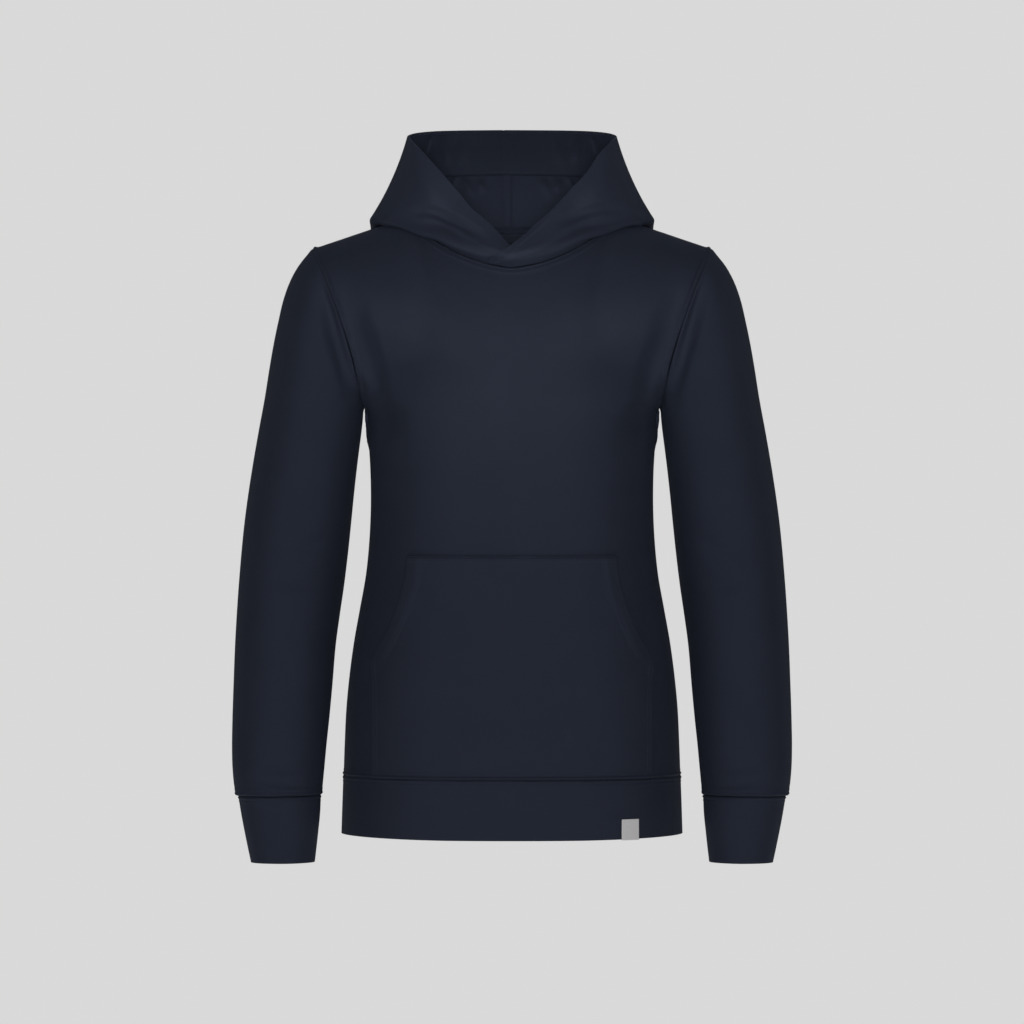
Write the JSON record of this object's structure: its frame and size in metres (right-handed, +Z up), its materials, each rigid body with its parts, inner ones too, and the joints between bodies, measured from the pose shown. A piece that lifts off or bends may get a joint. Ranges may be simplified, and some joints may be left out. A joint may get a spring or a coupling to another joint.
{
  "type": "pullover hoodie",
  "caption": "Plain pullover hoodie with a crossed-over hood, slanted-opening kangaroo pocket, cuffs and hem band, in the open shape it has when worn.",
  "frame": {"origin": "midpoint of the line between the two points where the shoulder seams meet the neck, where a wearer's shoulders carry the garment", "axes": "+Z up along the wearer's body, +X towards the wearer's left arm, -Y towards the wearer's front"},
  "size_m": [0.5744, 0.2597, 0.7577],
  "materials": {
    "fleece": "matt",
    "tape": "matt",
    "label": "matt"
  },
  "bodies": {
    "root": {"front": "fleece", "back": "fleece", "sleeve_left": "fleece", "sleeve_right": "fleece", "cuff_left": "fleece", "cuff_right": "fleece", "hem_band": "fleece", "pocket": "fleece", "hood_left": "fleece", "hood_right": "fleece", "hood_facing_left": "fleece", "hood_facing_right": "fleece", "neck_tape": "tape", "hem_label": "label"}
  },
  "joints": []
}
